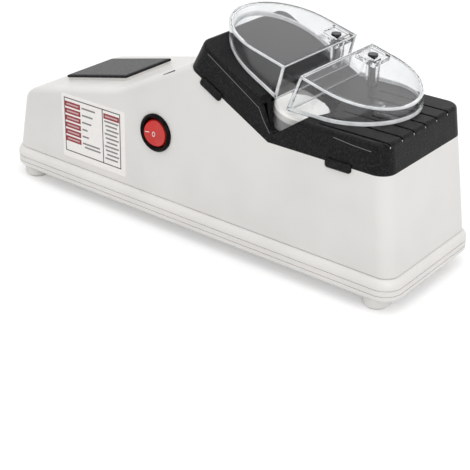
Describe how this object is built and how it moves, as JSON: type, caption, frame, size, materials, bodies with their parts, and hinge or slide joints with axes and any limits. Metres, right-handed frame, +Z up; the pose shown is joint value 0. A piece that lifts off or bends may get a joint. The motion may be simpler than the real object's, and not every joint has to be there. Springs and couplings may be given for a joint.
{
  "type": "electric knife sharpener",
  "caption": "White countertop electric knife sharpener with a black lift-off head, a clear two-part blade guard over a tilted white grinding wheel, a round red rocker switch and a hand stone.",
  "frame": {"origin": "on the worktop, under the middle of the base's bounding box", "axes": "+X along the machine towards the tall cutting head, +Y to the back, away from the switch, +Z up"},
  "size_m": [0.2688, 0.0798, 0.1213],
  "materials": {
    "white_shell": "fine satin ABS, warm white",
    "white_feet": "soft white rubber",
    "steel_screw": "zinc plated",
    "dark_frame": "matt dark frame",
    "grey_stone": "fine dark grey abrasive",
    "black_plastic": "satin black",
    "red_rocker": "glossy red",
    "brass_tab": "plain",
    "nickel_nut": "nickel plated",
    "black_cover": "fine matt texture",
    "clear_guard": "clear moulded plastic, polished",
    "white_wheel": "fine white abrasive",
    "hub_plastic": "plain",
    "shaft_steel": "ground",
    "plated_can": "zinc plated, satin",
    "bronze_bush": "sintered bronze",
    "magnet_ferrite": "plain ferrite",
    "core_steel": "stacked laminations",
    "copper_coil": "copper",
    "bracket_steel": "zinc plated sheet"
  },
  "bodies": {
    "housing": {"upper_housing": "white_shell", "base_tray": "white_shell", "feet": "white_feet", "base_screws": "steel_screw", "stone_tray": "dark_frame", "honing_stone": "grey_stone", "switch_bezel": "black_plastic", "switch_body": "black_plastic", "switch_terminals": "brass_tab", "dc_jack": "black_plastic", "dc_jack_nut": "nickel_nut", "motor_can": "plated_can", "motor_end_cap": "black_plastic", "motor_bushings": "bronze_bush", "motor_magnets": "magnet_ferrite", "motor_bracket": "bracket_steel", "bracket_screws": "steel_screw", "motor_screws": "steel_screw"},
    "rocker": {"switch_rocker": "red_rocker"},
    "rotor": {"grinding_wheel": "white_wheel", "wheel_hub": "hub_plastic", "motor_shaft": "shaft_steel", "rotor_core": "core_steel", "rotor_windings": "copper_coil", "commutator": "copper_coil"},
    "head": {"top_cover": "black_cover", "guard_left": "clear_guard", "guard_right": "clear_guard", "guard_screws": "steel_screw"}
  },
  "joints": [
    {"name": "switch_rock", "type": "hinge", "parent": "housing", "child": "rocker", "pos_m": [-0.0167, -0.03373, 0.05581], "axis": [0, 0.0349, 0.9994], "range_deg": [-18, 0]},
    {"name": "wheel_spin", "type": "hinge", "parent": "housing", "child": "rotor", "pos_m": [0.0617, -0.0135, 0.0834], "axis": [0.225, 0, 0.9744], "continuous": true},
    {"name": "head_lift", "type": "slide", "parent": "housing", "child": "head", "axis": [0, 0, 1], "range_m": [0, 0.045]}
  ]
}
